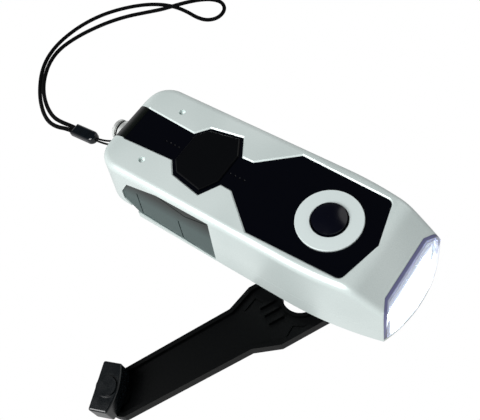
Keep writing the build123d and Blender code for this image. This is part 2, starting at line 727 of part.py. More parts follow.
# ================================================================ the lamp: board, reflector and lights
with BuildPart() as led_board:
    with BuildSketch(Plane.YZ.offset(LED_BOARD_X)):
        with Locations((0, (floor_top + JOINT_GAP + LED_BOARD_TOP) / 2)):
            Rectangle(LED_BOARD_HALF * 2, LED_BOARD_TOP - floor_top - JOINT_GAP)
    extrude(amount=BOARD_THICK)
save(led_board, "led_board")

board_front = LED_BOARD_X + BOARD_THICK
led_places = [(side * LED_PITCH, LED_Z) for side in (-1, 0, 1)]
with BuildPart() as reflector:
    with BuildSketch(Plane.YZ.offset(board_front + JOINT_GAP)):
        with Locations((0, sum(REFLECTOR_Z) / 2)):
            Rectangle(REFLECTOR_HALF * 2, REFLECTOR_Z[1] - REFLECTOR_Z[0])
    extrude(amount=REFLECTOR_DEPTH)
    for place in led_places:
        with BuildSketch(Plane.YZ.offset(board_front)):
            with Locations(place):
                Circle(BOWL_BACK)
        with BuildSketch(Plane.YZ.offset(board_front + JOINT_GAP + REFLECTOR_DEPTH)):
            with Locations(place):
                Circle(BOWL_FRONT)
        loft(mode=Mode.SUBTRACT)
save(reflector, "reflector")

for led_name, place in zip(("led_right", "led_middle", "led_left"), led_places):
    with BuildPart() as led:
        with BuildSketch(Plane.YZ.offset(board_front)):
            with Locations(place):
                Circle(LED_RADIUS + LED_RIM)
        extrude(amount=LED_RIM_THICK)
        with BuildSketch(Plane.YZ.offset(board_front)):
            with Locations(place):
                Circle(LED_RADIUS)
        extrude(amount=LED_LENGTH)
        fillet(led.faces().sort_by(Axis.X)[-1].edges(), radius=LED_TIP_ROUND)
    save(led, led_name)

# ================================================================ the crank: turret, gear, arm and pin
arm_way = (math.cos(math.radians(CRANK_DEG)), math.sin(math.radians(CRANK_DEG)), 0)
arm_across = (arm_way[1], -arm_way[0], 0)
arm_plane = Plane(origin=(0, 0, 0), x_dir=arm_way, z_dir=(0, 0, 1))
hinge_plane = Plane(origin=(0, 0, HINGE_RADIUS), x_dir=arm_way, z_dir=arm_across)
turret_floor = ARM_THICK + TURRET_LIFT
turret_top = BODY_BOTTOM - TURRET_GAP

with BuildPart() as crank_turret:  # disc and shaft above, hinge knuckle below
    add(round_post(TURRET_RADIUS, ((0, 0),), turret_floor, turret_top))
    add(round_post(SHAFT_RADIUS, ((0, 0),), turret_top, SHAFT_TOP))
    with BuildSketch(hinge_plane) as knuckle:
        with Locations((0, turret_floor / 2 - HINGE_RADIUS)):
            Rectangle(HINGE_RADIUS * 2, turret_floor)
        fillet(knuckle.vertices().group_by(Axis.Y)[0], radius=KNUCKLE_ROUND)
    extrude(amount=KNUCKLE_HALF, both=True)
    with BuildSketch(hinge_plane):
        Circle(HINGE_PIN_RADIUS + RUNNING_FIT)
    extrude(amount=KNUCKLE_HALF, both=True, mode=Mode.SUBTRACT)
save(crank_turret, "crank_turret")

with BuildPart() as hub_washer:
    add(round_post(HUB_BOSS_RADIUS, ((0, 0),), HUB_BOSS_TOP, HUB_BOSS_TOP + HUB_WASHER))
    add(round_post(SHAFT_RADIUS + RUNNING_FIT, ((0, 0),), HUB_BOSS_TOP, SEAM_Z), mode=Mode.SUBTRACT)
save(hub_washer, "hub_washer")

with BuildPart() as drive_gear:
    with BuildSketch(Plane.XY.offset(HUB_GEAR_Z)):
        add(gear_outline(HUB_TEETH, HUB_MODULE, 180))
        Circle(SHAFT_RADIUS, mode=Mode.SUBTRACT)
    extrude(amount=HUB_GEAR_THICK)
save(drive_gear, "drive_gear")


def arm_outline():
    """Plan of the crank arm: wide head, flared shoulders, narrow shank and round tip."""
    with BuildSketch() as plan:
        with BuildLine():
            sides = Polyline(
                (ARM_END_S, ARM_TIP_HALF),
                (FLARE_END_S, ARM_ROOT_HALF),
                (HEAD_END_S, HEAD_HALF),
                (0, HEAD_HALF),
                (0, -HEAD_HALF),
                (HEAD_END_S, -HEAD_HALF),
                (FLARE_END_S, -ARM_ROOT_HALF),
                (ARM_END_S, -ARM_TIP_HALF),
            )
            ThreePointArc(sides @ 1, (ARM_END_S + ARM_TIP_BOW, 0), sides @ 0)
        make_face()
    return plan.sketch


pocket_floor = ARM_THICK - ARM_POCKET
with BuildPart() as crank_arm:
    with BuildSketch(arm_plane):
        add(arm_outline())
    extrude(amount=ARM_THICK)
    with BuildSketch(hinge_plane):
        Circle(HINGE_RADIUS)
    extrude(amount=HEAD_HALF, both=True)
    with BuildSketch(arm_plane.offset(ARM_THICK)) as pocket:  # the rimmed upper side
        add(arm_outline())
        offset(amount=-ARM_RIM)
        with Locations((POCKET_START_S - HEAD_HALF, 0)):
            Rectangle(HEAD_HALF * 2, HEAD_HALF * 2, mode=Mode.SUBTRACT)
        with Locations((WINDOW_S, 0)):
            Circle(WINDOW_RADIUS + COLLAR, mode=Mode.SUBTRACT)
        with Locations((KNOB_S, KNOB_N)):
            Circle(KNOB_BOSS, mode=Mode.SUBTRACT)
        for rib_n in RIB_LINES:
            with Locations((sum(RIB_REACH) / 2, rib_n)):
                Rectangle(RIB_REACH[1] - RIB_REACH[0], RIB, mode=Mode.SUBTRACT)
    extrude(amount=-ARM_POCKET, mode=Mode.SUBTRACT)
    with BuildSketch(arm_plane.offset(pocket_floor)):
        for gusset in GUSSETS:
            with BuildLine():
                Polyline(*gusset, close=True)
            make_face()
    extrude(amount=-GUSSET_DEPTH, mode=Mode.SUBTRACT)
    with BuildSketch(arm_plane):
        with Locations((WINDOW_S, 0)):
            Circle(WINDOW_RADIUS)
    extrude(amount=ARM_THICK, mode=Mode.SUBTRACT)
    with BuildSketch(arm_plane):
        with Locations(((HINGE_SLOT_S - HINGE_RADIUS * 2) / 2, 0)):
            Rectangle(HINGE_SLOT_S + HINGE_RADIUS * 2, (KNUCKLE_HALF + KNOB_GAP) * 2)
    extrude(amount=ARM_THICK, mode=Mode.SUBTRACT)
    with BuildSketch(hinge_plane):
        Circle(HINGE_PIN_RADIUS)
    extrude(amount=HEAD_HALF - ARM_RIM, both=True, mode=Mode.SUBTRACT)
    with BuildSketch(arm_plane.offset(KNOB_PIN_START)):
        with Locations((KNOB_S, KNOB_N)):
            Circle(KNOB_PIN_RADIUS)
    extrude(amount=ARM_THICK, mode=Mode.SUBTRACT)
save(crank_arm, "crank_arm")

with BuildPart() as hinge_pin:
    with BuildSketch(hinge_plane):
        Circle(HINGE_PIN_RADIUS)
    extrude(amount=HEAD_HALF - ARM_RIM, both=True)
save(hinge_pin, "hinge_pin")

# ================================================================ the knob and its pin
knob_floor = ARM_THICK + KNOB_GAP
knob_roof = KNOB_TOP - KNOB_CAP - KNOB_GAP
knob_centre = arm_plane.from_local_coords((KNOB_S, KNOB_N, 0))
knob_way = (*polar(1, math.radians(CRANK_DEG + KNOB_TURN)), 0)
knob_plane = Plane(origin=knob_centre, x_dir=knob_way, z_dir=(0, 0, 1))
with BuildPart() as crank_knob:
    with BuildSketch(knob_plane.offset(knob_floor)):
        with BuildLine():
            back = Polyline(
                (KNOB_HALF_LENGTH, KNOB_END),
                (KNOB_HALF_LENGTH, -KNOB_BACK),
                (-KNOB_HALF_LENGTH, -KNOB_BACK),
                (-KNOB_HALF_LENGTH, KNOB_END),
            )
            ThreePointArc(back @ 1, (0, KNOB_BULGE), back @ 0)
        make_face()
    extrude(amount=knob_roof - knob_floor)
    fillet(crank_knob.edges(), radius=KNOB_EDGE)
    with BuildSketch(knob_plane):
        Circle(KNOB_PIN_RADIUS + RUNNING_FIT)
    extrude(amount=KNOB_TOP, mode=Mode.SUBTRACT)
save(crank_knob, "crank_knob")

with BuildPart() as knob_pin:
    with BuildSketch(knob_plane.offset(KNOB_PIN_START)):
        Circle(KNOB_PIN_RADIUS)
    extrude(amount=KNOB_TOP - KNOB_PIN_START)
    with BuildSketch(knob_plane.offset(KNOB_TOP)):
        Circle(KNOB_CAP_RADIUS)
    extrude(amount=-KNOB_CAP)
save(knob_pin, "knob_pin")

# ================================================================ the gear train and its axles
with BuildPart() as first_idler:
    pinion_turn = 180 + 180 / FIRST_PINION_TEETH
    with BuildSketch(Plane.XY.offset(FIRST_PINION_Z)):
        with Locations(FIRST_PLACE):
            add(gear_outline(FIRST_PINION_TEETH, HUB_MODULE, pinion_turn + 180))
    extrude(amount=FIRST_WHEEL_Z - FIRST_PINION_Z)
    with BuildSketch(Plane.XY.offset(FIRST_WHEEL_Z)):
        with Locations(FIRST_PLACE):
            add(gear_outline(FIRST_WHEEL_TEETH, FINE_MODULE, SECOND_DIRECTION))
    extrude(amount=FINE_THICK)
    add(round_post(AXLE_BOSS, (FIRST_PLACE,), FIRST_WHEEL_Z, GEAR_HUB_TOP))
    add(round_post(AXLE_RADIUS + RUNNING_FIT, (FIRST_PLACE,), 0, BODY_TOP), mode=Mode.SUBTRACT)
save(first_idler, "first_idler")

with BuildPart() as second_idler:
    with BuildSketch(Plane.XY.offset(FIRST_WHEEL_Z)):
        with Locations(SECOND_PLACE):
            second_turn = SECOND_DIRECTION + 180 + 180 / SECOND_PINION_TEETH
            add(gear_outline(SECOND_PINION_TEETH, FINE_MODULE, second_turn))
    extrude(amount=SECOND_WHEEL_Z - FIRST_WHEEL_Z)
    with BuildSketch(Plane.XY.offset(SECOND_WHEEL_Z)):
        with Locations(SECOND_PLACE):
            add(gear_outline(SECOND_WHEEL_TEETH, FINE_MODULE, ROTOR_DIRECTION))
    extrude(amount=FINE_THICK)
    add(round_post(AXLE_BOSS, (SECOND_PLACE,), SECOND_WHEEL_Z, GEAR_HUB_TOP))
    add(round_post(AXLE_RADIUS + RUNNING_FIT, (SECOND_PLACE,), 0, BODY_TOP), mode=Mode.SUBTRACT)
save(second_idler, "second_idler")

for axle_name, place in (("first_axle", FIRST_PLACE), ("second_axle", SECOND_PLACE)):
    with BuildPart() as axle:
        add(round_post(AXLE_RADIUS, (place,), AXLE_FOOT, AXLE_TOP))
    save(axle, axle_name)

# ================================================================ the generator
with BuildPart() as rotor_shaft:
    add(round_post(AXLE_RADIUS, (ROTOR_PLACE,), AXLE_FOOT + JOINT_GAP, AXLE_TOP))
    with BuildSketch(Plane.XY.offset(SECOND_WHEEL_Z)):
        with Locations(ROTOR_PLACE):
            add(gear_outline(ROTOR_TEETH, FINE_MODULE, ROTOR_DIRECTION + 180 + 180 / ROTOR_TEETH))
    extrude(amount=FINE_THICK)
save(rotor_shaft, "rotor_shaft")

with BuildPart() as rotor_magnet:
    add(round_post(MAGNET_RADIUS, (ROTOR_PLACE,), MAGNET_Z, MAGNET_Z + MAGNET_HEIGHT))
    add(round_post(AXLE_RADIUS, (ROTOR_PLACE,), 0, BODY_TOP), mode=Mode.SUBTRACT)
save(rotor_magnet, "rotor_magnet")

stator_top = floor_top + STATOR_HEIGHT
coil_low = floor_top + STATOR_WALL + COIL_GAP
coil_high = stator_top - STATOR_WALL - COIL_GAP
with BuildPart() as stator_core:
    add(round_post(STATOR_RADIUS, (ROTOR_PLACE,), floor_top, stator_top))
    add(round_post(STATOR_BORE, (ROTOR_PLACE,), floor_top, stator_top), mode=Mode.SUBTRACT)
    channel_high = stator_top - STATOR_WALL
    channel_radius = STATOR_RADIUS - STATOR_WALL
    add(round_post(channel_radius, (ROTOR_PLACE,), floor_top + STATOR_WALL, channel_high), mode=Mode.SUBTRACT)
save(stator_core, "stator_core")

with BuildPart() as coil_winding:
    add(round_post(STATOR_RADIUS - STATOR_WALL - COIL_GAP, (ROTOR_PLACE,), coil_low, coil_high))
    add(round_post(STATOR_BORE, (ROTOR_PLACE,), coil_low, coil_high), mode=Mode.SUBTRACT)
save(coil_winding, "coil_winding")

# ================================================================ gear_plate and its screws
with BuildPart() as gear_plate:
    with BuildSketch(Plane.XY.offset(PLATE_Z)) as plate_plan:
        with BuildLine():
            Polyline(*PLATE_OUTLINE, close=True)
        make_face()
        fillet(plate_plan.vertices(), radius=PLATE_CORNER)
    extrude(amount=PLATE_THICK)
    add(round_post(LEG_RADIUS, PLATE_LEGS, floor_top, PLATE_Z))
    add(round_post(SCREW_RADIUS, PLATE_LEGS, SEAM_Z, BODY_TOP), mode=Mode.SUBTRACT)
    add(round_post(AXLE_RADIUS, (FIRST_PLACE, SECOND_PLACE), PLATE_Z, BODY_TOP), mode=Mode.SUBTRACT)
    add(round_post(AXLE_RADIUS + RUNNING_FIT, (ROTOR_PLACE,), PLATE_Z, BODY_TOP), mode=Mode.SUBTRACT)
save(gear_plate, "gear_plate")

plate_top = PLATE_Z + PLATE_THICK
with BuildPart() as plate_screws:
    for place in PLATE_LEGS:
        add(round_post(SCREW_RADIUS, (place,), SEAM_Z, plate_top))
        add(round_post(SCREW_HEAD_RADIUS, (place,), plate_top, plate_top + SCREW_HEAD))
save(plate_screws, "plate_screws")

with BuildPart() as body_screws:
    head_floor = BODY_BOTTOM + SCREW_SINK - SCREW_HEAD
    for place in SCREW_PLACES:
        add(round_post(SCREW_HEAD_RADIUS, (place,), head_floor, BODY_BOTTOM + SCREW_SINK))
        add(round_post(SCREW_RADIUS, (place,), BODY_BOTTOM + SCREW_SINK, SCREW_TOP))
save(body_screws, "body_screws")

# ================================================================ the battery tray and cells
cell_lines = [side * CELL_PITCH for side in (-1, 0, 1)]
with BuildPart() as battery_tray:
    with BuildSketch(Plane.XY.offset(TRAY_Z[0])):
        with Locations((sum(TRAY_SPAN) / 2, 0)):
            Rectangle(TRAY_SPAN[1] - TRAY_SPAN[0], TRAY_HALF * 2)
    extrude(amount=TRAY_Z[1] - TRAY_Z[0])
    with BuildSketch(Plane.XY.offset(floor_top)):
        for foot_x in TRAY_FEET:
            with Locations((foot_x, 0)):
                Rectangle(TRAY_FOOT_THICK, TRAY_FOOT_HALF * 2)
    extrude(amount=TRAY_Z[0] - floor_top)
    with BuildSketch(Plane.YZ.offset(CELL_START_X - CELL_GAP)):
        for cell_y in cell_lines:
            with Locations((cell_y, CELL_Z)):
                Circle(CELL_RADIUS + CELL_GAP)
    extrude(amount=CELL_LENGTH + CELL_NIP_LENGTH + CELL_GAP * 2, mode=Mode.SUBTRACT)
save(battery_tray, "battery_tray")

for number, cell_y in enumerate(cell_lines, start=1):
    with BuildPart() as battery_cell:
        with BuildSketch(Plane.YZ.offset(CELL_START_X)):
            with Locations((cell_y, CELL_Z)):
                Circle(CELL_RADIUS)
        extrude(amount=CELL_LENGTH - CELL_NIP_LENGTH)
        with BuildSketch(Plane.YZ.offset(CELL_START_X)):
            with Locations((cell_y, CELL_Z)):
                Circle(CELL_NIP)
        extrude(amount=CELL_LENGTH)
    save(battery_cell, f"battery_cell_{number}")

# ================================================================ the tail post and its nut
with BuildPart() as lanyard_post:
    neck_start = POST_END_X + POST_RIM
    with BuildSketch(Plane.XZ) as half_section:
        with BuildLine():
            Polyline(
                (POST_END_X, POST_Z),
                (POST_END_X, POST_Z + POST_RIM_RADIUS),
                (neck_start, POST_Z + POST_RIM_RADIUS),
                (neck_start, POST_Z + POST_NECK_RADIUS),
                (neck_start + POST_NECK_LENGTH, POST_Z + POST_NECK_RADIUS),
                (neck_start + POST_NECK_LENGTH, POST_Z + POST_RADIUS),
                (POST_SEAT_X, POST_Z + POST_RADIUS),
                (POST_SEAT_X, POST_Z + POST_STEM_RADIUS),
                (POST_STEM_END, POST_Z + POST_STEM_RADIUS),
                (POST_STEM_END, POST_Z),
                close=True,
            )
        make_face()
    revolve(axis=Axis((0, 0, POST_Z), (1, 0, 0)))
    chamfer(lanyard_post.faces().sort_by(Axis.X)[0].edges(), length=POST_BEVEL)
save(lanyard_post, "lanyard_post")

with BuildPart() as post_nut:
    with BuildSketch(Plane.YZ.offset(NUT_START)):
        with Locations((0, POST_Z)):
            RegularPolygon(NUT_RADIUS, 6)
            Circle(POST_STEM_RADIUS, mode=Mode.SUBTRACT)
    extrude(amount=NUT_THICK)
save(post_nut, "post_nut")

# ================================================================ the lanyard
def bend_radii(points):
    """Bend at each inner point: nine twentieths of the shorter run, over the tangent of half the turn."""
    radii = []
    for before, here, after in zip(points, points[1:], points[2:]):
        run_in = Vector(*here) - Vector(*before)
        run_out = Vector(*after) - Vector(*here)
        half_turn = math.radians(run_in.get_angle(run_out)) / 2
        radii.append(BEND_SHARE * min(run_in.length, run_out.length) / math.tan(half_turn))
    return radii


def cord(points, diameter, name):
    """Round cord along straight runs joined by tangent arcs."""
    radii = bend_radii(points)
    print(name, "bend radii", [round(radius, 1) for radius in radii])
    with BuildPart() as tube:
        with BuildLine() as route:
            FilletPolyline(*points, radius=radii)
        centre_line = route.wires()[0]
        with BuildSketch(Plane(origin=centre_line @ 0, z_dir=centre_line % 0)):
            Circle(diameter / 2)
        sweep(path=centre_line)
    section = math.pi * diameter**2 / 4
    print(name, "length", round(centre_line.length, 1), "by volume", round(tube.part.volume / section, 1))
    save(tube, name)


sleeve_side = (SLEEVE_WAY[1], -SLEEVE_WAY[0], 0)  # level, towards the torch's left


def beside(place, along, across):
    """A place moved along the sleeve and level across it."""
    level = Vector(*sleeve_side).normalized()
    moved = Vector(*place) + Vector(*SLEEVE_WAY).normalized() * along + level * across
    return (moved.X, moved.Y, moved.Z)


sleeve_out = beside(SLEEVE_IN, SLEEVE_LENGTH, 0)
sleeve_lid = Vector(*sleeve_side).cross(Vector(*SLEEVE_WAY)).normalized()
with BuildPart() as cord_sleeve:
    with BuildSketch(Plane(origin=SLEEVE_IN, x_dir=SLEEVE_WAY, z_dir=sleeve_lid)) as sleeve_plan:
        with Locations((SLEEVE_LENGTH / 2, 0)):
            Rectangle(SLEEVE_LENGTH, SLEEVE_HALF_WIDTH * 2)
        ends = sleeve_plan.vertices().group_by(Axis.X)
        fillet(ends[0], radius=SLEEVE_CORNERS[0])
        fillet(ends[-1], radius=SLEEVE_CORNERS[1])
    extrude(amount=SLEEVE_HALF_HEIGHT, both=True)
    fillet(cord_sleeve.faces().sort_by(Axis.Z)[-1].edges(), radius=SLEEVE_EDGE)
    fillet(cord_sleeve.faces().sort_by(Axis.Z)[0].edges(), radius=SLEEVE_EDGE)
save(cord_sleeve, "cord_sleeve")

wrap_x = POST_END_X + POST_RIM + POST_NECK_LENGTH / 2
POST_CORD_ROUTE = (
    beside(SLEEVE_IN, 0, -THIN_SPREAD),
    beside(SLEEVE_IN, -THIN_LEAD, -THIN_SPREAD),
    (wrap_x, -6.55, 21.35),
    (wrap_x, -1.5, 30.1),
    (wrap_x, 5.6, 26.0),
    (wrap_x, 0.55, 17.25),
    beside(SLEEVE_IN, -THIN_LEAD, THIN_SPREAD),
    beside(SLEEVE_IN, 0, THIN_SPREAD),
)
LOOP_ROUTE = (
    beside(sleeve_out, 0, -LOOP_SPREAD),
    beside(sleeve_out, LOOP_LEAD, -LOOP_SPREAD),
    (-151.2, -10.4, 16.8),
    (-159.3, -9.4, 13.9),
    (-168.3, -6.3, 10.3),
    (-177.7, -1.6, 6.4),
    (-187.0, 4.2, 3.2),
    (-194.6, 10.6, 1.4),
    (-200.9, 18.0, 1.05),
    (-205.4, 26.6, 1.05),
    (-207.3, 36.2, 1.05),
    (-206.6, 46.0, 1.05),
    (-203.9, 56.0, 1.05),
    (-198.5, 66.3, 1.05),
    (-190.3, 75.4, 1.05),
    (-181.0, 82.6, 1.05),
    (-171.8, 86.9, 1.05),
    (-162.9, 88.7, 1.05),
    (-154.6, 88.5, 1.05),
    (-147.3, 87.3, 1.05),
    (-140.4, 88.0, 1.05),
    (-135.9, 92.3, 1.05),
    (-136.3, 98.8, 1.05),
    (-141.6, 102.7, 1.05),
    (-148.2, 101.4, 1.5),
    (-152.8, 96.6, 3.2),
    (-156.6, 91.2, 4.6),
    (-161.7, 86.6, 4.2),
    (-168.3, 83.2, 2.0),
    (-176.2, 78.1, 1.05),
    (-183.6, 71.9, 1.05),
    (-190.4, 64.4, 1.05),
    (-196.2, 55.6, 1.05),
    (-200.9, 46.0, 1.05),
    (-203.7, 35.6, 1.05),
    (-202.3, 26.4, 1.05),
    (-197.8, 18.0, 1.3),
    (-190.5, 10.2, 3.1),
    (-181.0, 3.4, 5.9),
    (-170.0, -2.3, 9.9),
    (-159.6, -6.1, 13.9),
    (-151.0, -7.3, 17.0),
    beside(sleeve_out, LOOP_LEAD, LOOP_SPREAD),
    beside(sleeve_out, 0, LOOP_SPREAD),
)
cord(POST_CORD_ROUTE, THIN_CORD, "post_cord")
cord(LOOP_ROUTE, LOOP_CORD, "wrist_loop")
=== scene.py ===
"""The look of a hand crank flashlight: a flat silver torch lying on its swung-out crank."""
import math

import bpy
from mathutils import Matrix, Vector


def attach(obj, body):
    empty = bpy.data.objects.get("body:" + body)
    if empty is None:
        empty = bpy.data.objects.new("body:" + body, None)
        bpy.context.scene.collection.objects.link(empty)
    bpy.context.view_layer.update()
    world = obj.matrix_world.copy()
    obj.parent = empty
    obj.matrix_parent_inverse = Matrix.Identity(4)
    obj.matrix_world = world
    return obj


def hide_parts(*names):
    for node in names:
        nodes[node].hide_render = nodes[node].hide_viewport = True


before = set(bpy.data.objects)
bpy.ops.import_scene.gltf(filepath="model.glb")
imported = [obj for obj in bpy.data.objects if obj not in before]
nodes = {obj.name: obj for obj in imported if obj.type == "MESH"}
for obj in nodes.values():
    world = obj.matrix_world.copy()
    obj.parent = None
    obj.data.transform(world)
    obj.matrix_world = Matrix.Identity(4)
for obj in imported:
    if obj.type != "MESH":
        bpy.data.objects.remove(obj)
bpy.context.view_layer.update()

# ---------------------------------------------------------------------------------------------
# The camera stands above the torch's right-hand nose corner and looks down and back along it.
CAMERA_PLACE = (0.07622, -0.09720, 0.25646)
CAMERA_RIGHT = (0.79469, 0.57711, -0.18816)
CAMERA_UP = (-0.42295, 0.74879, 0.51032)
CAMERA_BACK = (0.43541, -0.32597, 0.83915)
CAMERA_LENS = 52.46

camera_data = bpy.data.cameras.new("camera")
camera_data.sensor_width = 36.0
camera_data.lens = CAMERA_LENS
camera_data.clip_start = 0.01
camera_data.clip_end = 20.0
camera = bpy.data.objects.new("camera", camera_data)
turned = Matrix((CAMERA_RIGHT, CAMERA_UP, CAMERA_BACK)).transposed().to_4x4()
camera.matrix_world = Matrix.Translation(CAMERA_PLACE) @ turned
bpy.context.scene.collection.objects.link(camera)
bpy.context.scene.camera = camera

# ---------------------------------------------------------------------------------------------
# The wrist loop and the thin cord round the post: braided polyester, dyed black, cut and fused
# inside the sleeve. The loop is one length of soft round cord that lies on the table.
LOOP_CORD = 0.002
THIN_CORD = 0.0009
SLEEVE_IN = Vector((-0.1258, -0.0080, 0.0205))
SLEEVE_WAY = Vector((-0.9957, -0.0305, -0.0855)).normalized()
SLEEVE_LEVEL = Vector((-0.0305, 0.9957, 0)).normalized()
SLEEVE_LENGTH = 0.0143
WRAP_X = -0.11445


def beside_sleeve(along, across):
    """A point along the sleeve from its post end, and level across it."""
    return SLEEVE_IN + SLEEVE_WAY * along + SLEEVE_LEVEL * across


POST_CORD_ROUTE = (
    beside_sleeve(0, -0.00055),
    beside_sleeve(-0.005, -0.00055),
    (WRAP_X, -0.00655, 0.02135),
    (WRAP_X, -0.0015, 0.0301),
    (WRAP_X, 0.0056, 0.0260),
    (WRAP_X, 0.00055, 0.01725),
    beside_sleeve(-0.005, 0.00055),
    beside_sleeve(0, 0.00055),
)
LOOP_ROUTE = (
    beside_sleeve(SLEEVE_LENGTH, -0.00105),
    beside_sleeve(SLEEVE_LENGTH + 0.0045, -0.00105),
    (-0.1512, -0.0104, 0.0168),
    (-0.1593, -0.0094, 0.0139),
    (-0.1683, -0.0063, 0.0103),
    (-0.1777, -0.0016, 0.0064),
    (-0.1870, 0.0042, 0.0032),
    (-0.1946, 0.0106, 0.0014),
    (-0.2009, 0.0180, 0.00105),
    (-0.2054, 0.0266, 0.00105),
    (-0.2073, 0.0362, 0.00105),
    (-0.2066, 0.0460, 0.00105),
    (-0.2039, 0.0560, 0.00105),
    (-0.1985, 0.0663, 0.00105),
    (-0.1903, 0.0754, 0.00105),
    (-0.1810, 0.0826, 0.00105),
    (-0.1718, 0.0869, 0.00105),
    (-0.1629, 0.0887, 0.00105),
    (-0.1546, 0.0885, 0.00105),
    (-0.1473, 0.0873, 0.00105),
    (-0.1404, 0.0880, 0.00105),
    (-0.1359, 0.0923, 0.00105),
    (-0.1363, 0.0988, 0.00105),
    (-0.1416, 0.1027, 0.00105),
    (-0.1482, 0.1014, 0.0015),
    (-0.1528, 0.0966, 0.0032),
    (-0.1566, 0.0912, 0.0046),
    (-0.1617, 0.0866, 0.0042),
    (-0.1683, 0.0832, 0.0020),
    (-0.1762, 0.0781, 0.00105),
    (-0.1836, 0.0719, 0.00105),
    (-0.1904, 0.0644, 0.00105),
    (-0.1962, 0.0556, 0.00105),
    (-0.2009, 0.0460, 0.00105),
    (-0.2037, 0.0356, 0.00105),
    (-0.2023, 0.0264, 0.00105),
    (-0.1978, 0.0180, 0.0013),
    (-0.1905, 0.0102, 0.0031),
    (-0.1810, 0.0034, 0.0059),
    (-0.1700, -0.0023, 0.0099),
    (-0.1596, -0.0061, 0.0139),
    (-0.1510, -0.0073, 0.0170),
    beside_sleeve(SLEEVE_LENGTH + 0.0045, 0.00105),
    beside_sleeve(SLEEVE_LENGTH, 0.00105),
)


def hex_colour(code):
    """An sRGB hex value as the linear colour that a shader takes."""
    parts = [int(code[i : i + 2], 16) / 255 for i in (1, 3, 5)]
    linear = [c / 12.92 if c <= 0.04045 else ((c + 0.055) / 1.055) ** 2.4 for c in parts]
    return (*linear, 1.0)


def per_metre(millimetres):
    """Pattern scale for a feature of that size."""
    return 1000.0 / millimetres


def add_node(tree, kind, settings=None, links=None):
    """Adds one shader node, sets its values and links its inputs."""
    made = tree.nodes.new(kind)
    for name, value in (settings or {}).items():
        if isinstance(name, int) or name in made.inputs:
            made.inputs[name].default_value = value
        else:
            setattr(made, name, value)
    for name, source in (links or {}).items():
        tree.links.new(source, made.inputs[name])
    return made


def new_finish(name, **surface):
    """A material with one principled surface; returns it with its tree, surface and coordinates."""
    finish = bpy.data.materials.new(name)
    finish.use_nodes = True
    tree = finish.node_tree
    shader = tree.nodes["Principled BSDF"]
    for socket, value in surface.items():
        shader.inputs[socket.replace("_", " ")].default_value = value
    place = add_node(tree, "ShaderNodeTexCoord").outputs["Object"]
    return finish, tree, shader, place


def dress(finish, *names):
    """Gives CAD pieces their finish."""
    for name in names:
        for material_slot in nodes[name].material_slots:
            material_slot.material = finish


def draw_cord(name, route, diameter, finish):
    """A round cord along a smooth line that the route's points guide."""
    line = bpy.data.curves.new(name, "CURVE")
    line.dimensions = "3D"
    line.resolution_u = 12
    line.bevel_depth = diameter / 2
    line.bevel_resolution = 5
    spline = line.splines.new("NURBS")
    spline.points.add(len(route) - 1)
    for point, place in zip(spline.points, route):
        point.co = (*place, 1.0)
    spline.order_u = 3
    spline.use_endpoint_u = True
    line.materials.append(finish)
    piece = bpy.data.objects.new(name, line)
    bpy.context.scene.collection.objects.link(piece)
    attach(piece, "torch")
    return piece


def tone_between(tree, factor, dark, light, start=0.0, end=1.0):
    """A colour that goes from dark to light as the factor goes from start to end."""
    ramp = add_node(tree, "ShaderNodeValToRGB", {}, {"Fac": factor})
    for element, spot, code in zip(ramp.color_ramp.elements, (start, end), (dark, light)):
        element.position = spot
        element.color = hex_colour(code)
    return ramp.outputs["Color"]


def emboss(tree, shader, height, strength, distance):
    """Gives a surface fine relief."""
    bump = add_node(
        tree, "ShaderNodeBump", {"Strength": strength, "Distance": distance}, {"Height": height}
    )
    tree.links.new(bump.outputs["Normal"], shader.inputs["Normal"])


# Braided polyester: the crossing yarns are 0.5 mm wide and dull; their crowns are a little lighter in
# colour, as painted sheen.
braid, tree, shader, place = new_finish(
    "braided_polyester_cord", Roughness=0.85, Specular_IOR_Level=0.08
)
YARN_MM = 0.5
lay_one = add_node(
    tree,
    "ShaderNodeTexWave",
    {"bands_direction": "DIAGONAL", "Scale": per_metre(YARN_MM) / 20, "Distortion": 1.5},
    {"Vector": place},
)
lay_two = add_node(
    tree,
    "ShaderNodeTexVoronoi",
    {"Scale": per_metre(YARN_MM)},
    {"Vector": place},
)
crossed = add_node(
    tree,
    "ShaderNodeMath",
    {"operation": "MULTIPLY"},
    {0: lay_one.outputs["Fac"], 1: lay_two.outputs["Distance"]},
)
# Painted sheen: the tone is lighter where the crossed yarn pattern stands high.
tone = tone_between(tree, crossed.outputs[0], "#020203", "#08080a")
emboss(tree, shader, crossed.outputs[0], 0.5, 0.0001)
tree.links.new(tone, shader.inputs["Base Color"])

loop_piece = draw_cord("wrist_loop_cord", LOOP_ROUTE, LOOP_CORD, braid)
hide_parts("wrist_loop")
post_piece = draw_cord("post_cord_strand", POST_CORD_ROUTE, THIN_CORD, braid)
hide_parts("post_cord")

# ---------------------------------------------------------------------------------------------
# The sleeve: a flat bead of glossy black ABS, moulded round the fused ends of both cords.


def speckle(tree, place, size_mm, detail):
    """A soft random pattern with features of that size."""
    settings = {"Scale": per_metre(size_mm), "Detail": detail}
    return add_node(tree, "ShaderNodeTexNoise", settings, {"Vector": place}).outputs["Fac"]


gloss_abs, tree, shader, place = new_finish("moulded_gloss_abs", Roughness=0.16, IOR=1.53)
FLOW_MM = 3.0
flow = speckle(tree, place, FLOW_MM, 3.0)
flow_tone = tone_between(tree, flow, "#030507", "#0b1218")
emboss(tree, shader, flow, 0.15, 0.0001)
tree.links.new(flow_tone, shader.inputs["Base Color"])
dress(gloss_abs, "cord_sleeve")

